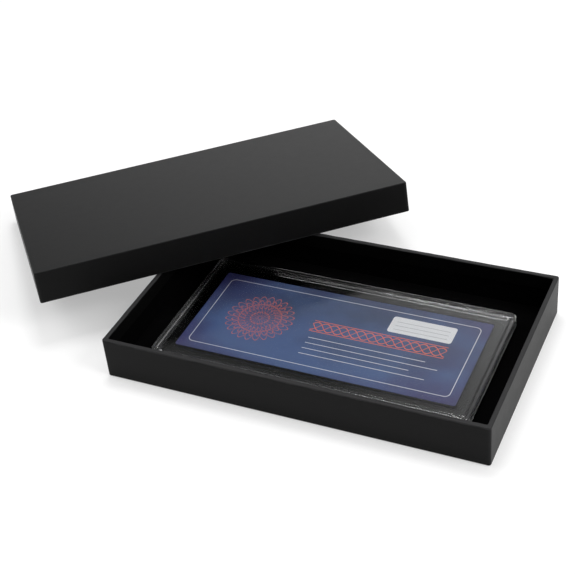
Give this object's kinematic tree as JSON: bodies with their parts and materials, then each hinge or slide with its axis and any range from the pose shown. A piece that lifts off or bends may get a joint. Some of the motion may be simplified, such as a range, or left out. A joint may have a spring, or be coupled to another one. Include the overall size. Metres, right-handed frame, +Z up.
{
  "type": "slab gift box",
  "caption": "Flat rectangular presentation box of paper-covered board with a separate lid leaning on its tray, holding a clear snap-together flat display holder with a printed card",
  "frame": {"origin": "centre of the tray's flat underside, on the surface it stands on", "axes": "+X along the tray's length to its right end, +Y across it to the long wall that the lid leans over, +Z up out of the open tray"},
  "size_m": [0.347, 0.2592, 0.0428],
  "materials": {
    "greyboard": "plain grey chipboard",
    "wrap_paper": "black, smooth matt coated",
    "lining_paper": "black, dead matt",
    "kraft_tape": "gummed kraft tape",
    "clear_plastic": "clear polished polystyrene",
    "card_print": "printed card, satin"
  },
  "bodies": {
    "tray": {"tray_board": "greyboard", "tray_wrap": "wrap_paper", "tray_lining": "lining_paper", "tray_base_sheet": "wrap_paper", "tray_corner_stay_1": "kraft_tape", "tray_corner_stay_2": "kraft_tape", "tray_corner_stay_3": "kraft_tape", "tray_corner_stay_4": "kraft_tape"},
    "lid": {"lid_board": "greyboard", "lid_wrap": "wrap_paper", "lid_lining": "lining_paper", "lid_corner_stay_1": "kraft_tape", "lid_corner_stay_2": "kraft_tape", "lid_corner_stay_3": "kraft_tape", "lid_corner_stay_4": "kraft_tape"},
    "holder": {"slab_base": "clear_plastic"},
    "cover": {"slab_cover": "clear_plastic"},
    "card": {"insert_card": "card_print"}
  },
  "joints": [
    {"name": "lid_lift", "type": "slide", "parent": "tray", "child": "lid", "axis": [0, 0, 1], "range_m": [0, 0.08]},
    {"name": "slab_tip", "type": "hinge", "parent": "tray", "child": "holder", "pos_m": [-0.0889, -0.001, 0.00282], "axis": [0, -1, 0], "range_deg": [0, 12]},
    {"name": "cover_lift", "type": "slide", "parent": "holder", "child": "cover", "axis": [0, 0, 1], "range_m": [0, 0.005]},
    {"name": "card_lift", "type": "slide", "parent": "holder", "child": "card", "axis": [0, 0, 1], "range_m": [0, 0.0025]}
  ],
  "couplings": [
    {"joint": "card_lift", "follows": "cover_lift", "ratio": 0.5}
  ]
}
